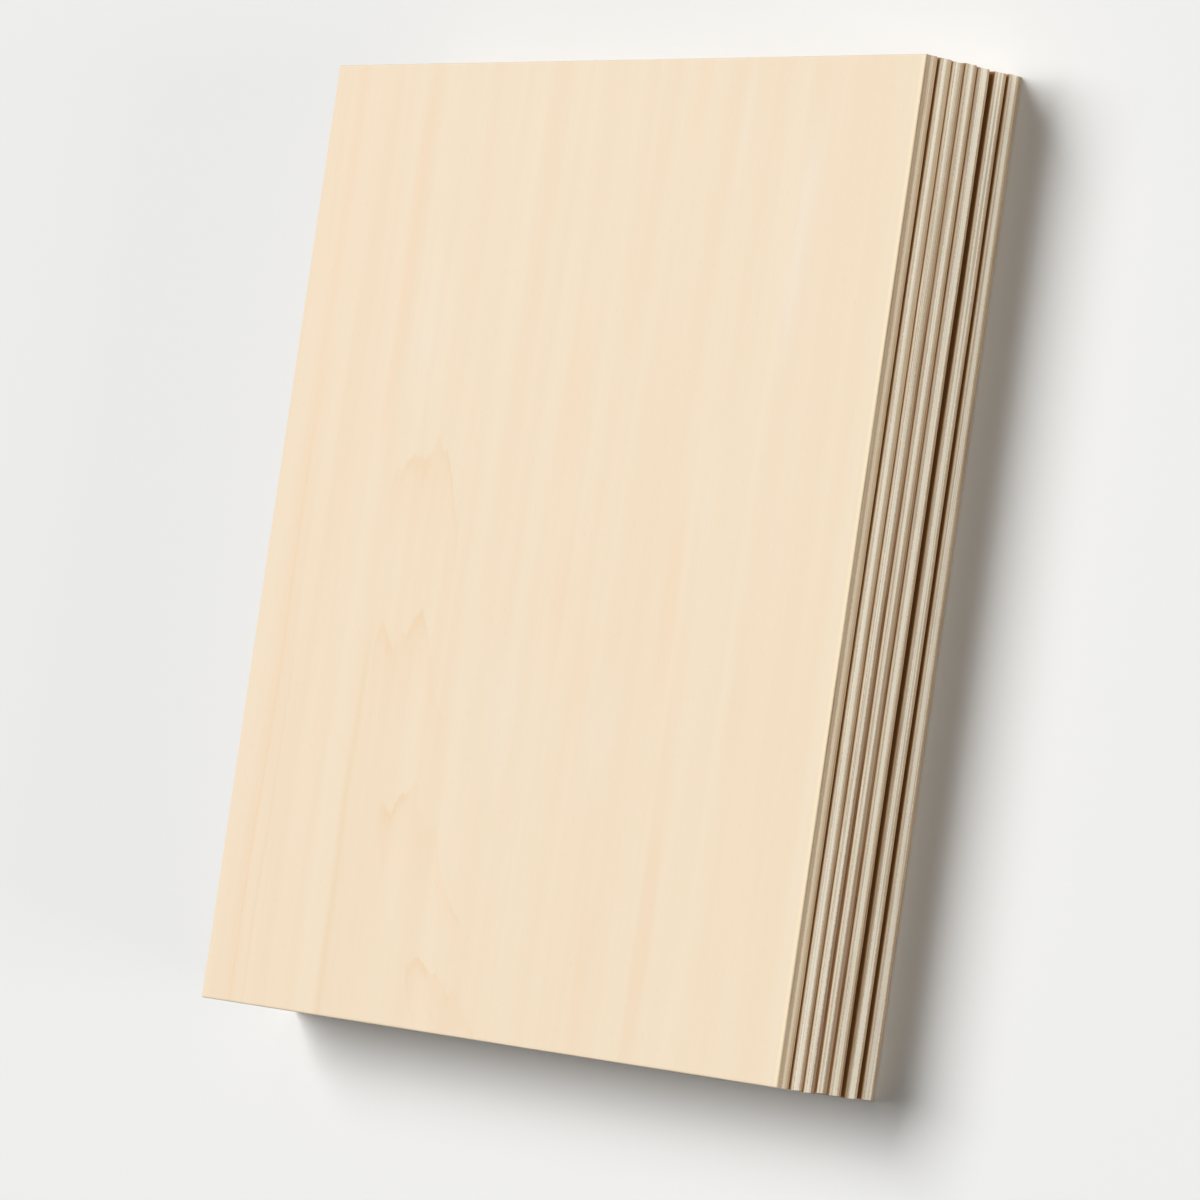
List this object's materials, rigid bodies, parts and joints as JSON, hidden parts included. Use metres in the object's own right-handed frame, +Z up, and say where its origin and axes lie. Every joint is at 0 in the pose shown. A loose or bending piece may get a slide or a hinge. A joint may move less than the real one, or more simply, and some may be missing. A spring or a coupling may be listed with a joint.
{
  "type": "stack of plywood sheets",
  "caption": "Flat stack of thin, square three-ply plywood sheets in pale wood, slightly cupped so their long edges gape, for laser cutting, models and crafts.",
  "frame": {"origin": "centre of the stack's footprint, on the floor under the bottom sheet", "axes": "+X across the face grain towards the long edge seen in the picture, +Y along the face grain, +Z up through the sheets"},
  "size_m": [0.2002, 0.2002, 0.024],
  "materials": {
    "face_veneer": "bare sanded veneer, pale cream",
    "core": "bare sawn core, cross grain",
    "back_veneer": "bare sanded veneer, tan"
  },
  "bodies": {
    "root": {"sheet_1_face_veneer": "face_veneer", "sheet_1_core": "core", "sheet_1_back_veneer": "back_veneer", "sheet_2_face_veneer": "face_veneer", "sheet_2_core": "core", "sheet_2_back_veneer": "back_veneer", "sheet_3_face_veneer": "face_veneer", "sheet_3_core": "core", "sheet_3_back_veneer": "back_veneer", "sheet_4_face_veneer": "face_veneer", "sheet_4_core": "core", "sheet_4_back_veneer": "back_veneer", "sheet_5_face_veneer": "face_veneer", "sheet_5_core": "core", "sheet_5_back_veneer": "back_veneer", "sheet_6_face_veneer": "face_veneer", "sheet_6_core": "core", "sheet_6_back_veneer": "back_veneer", "sheet_7_face_veneer": "face_veneer", "sheet_7_core": "core", "sheet_7_back_veneer": "back_veneer"}
  },
  "joints": []
}
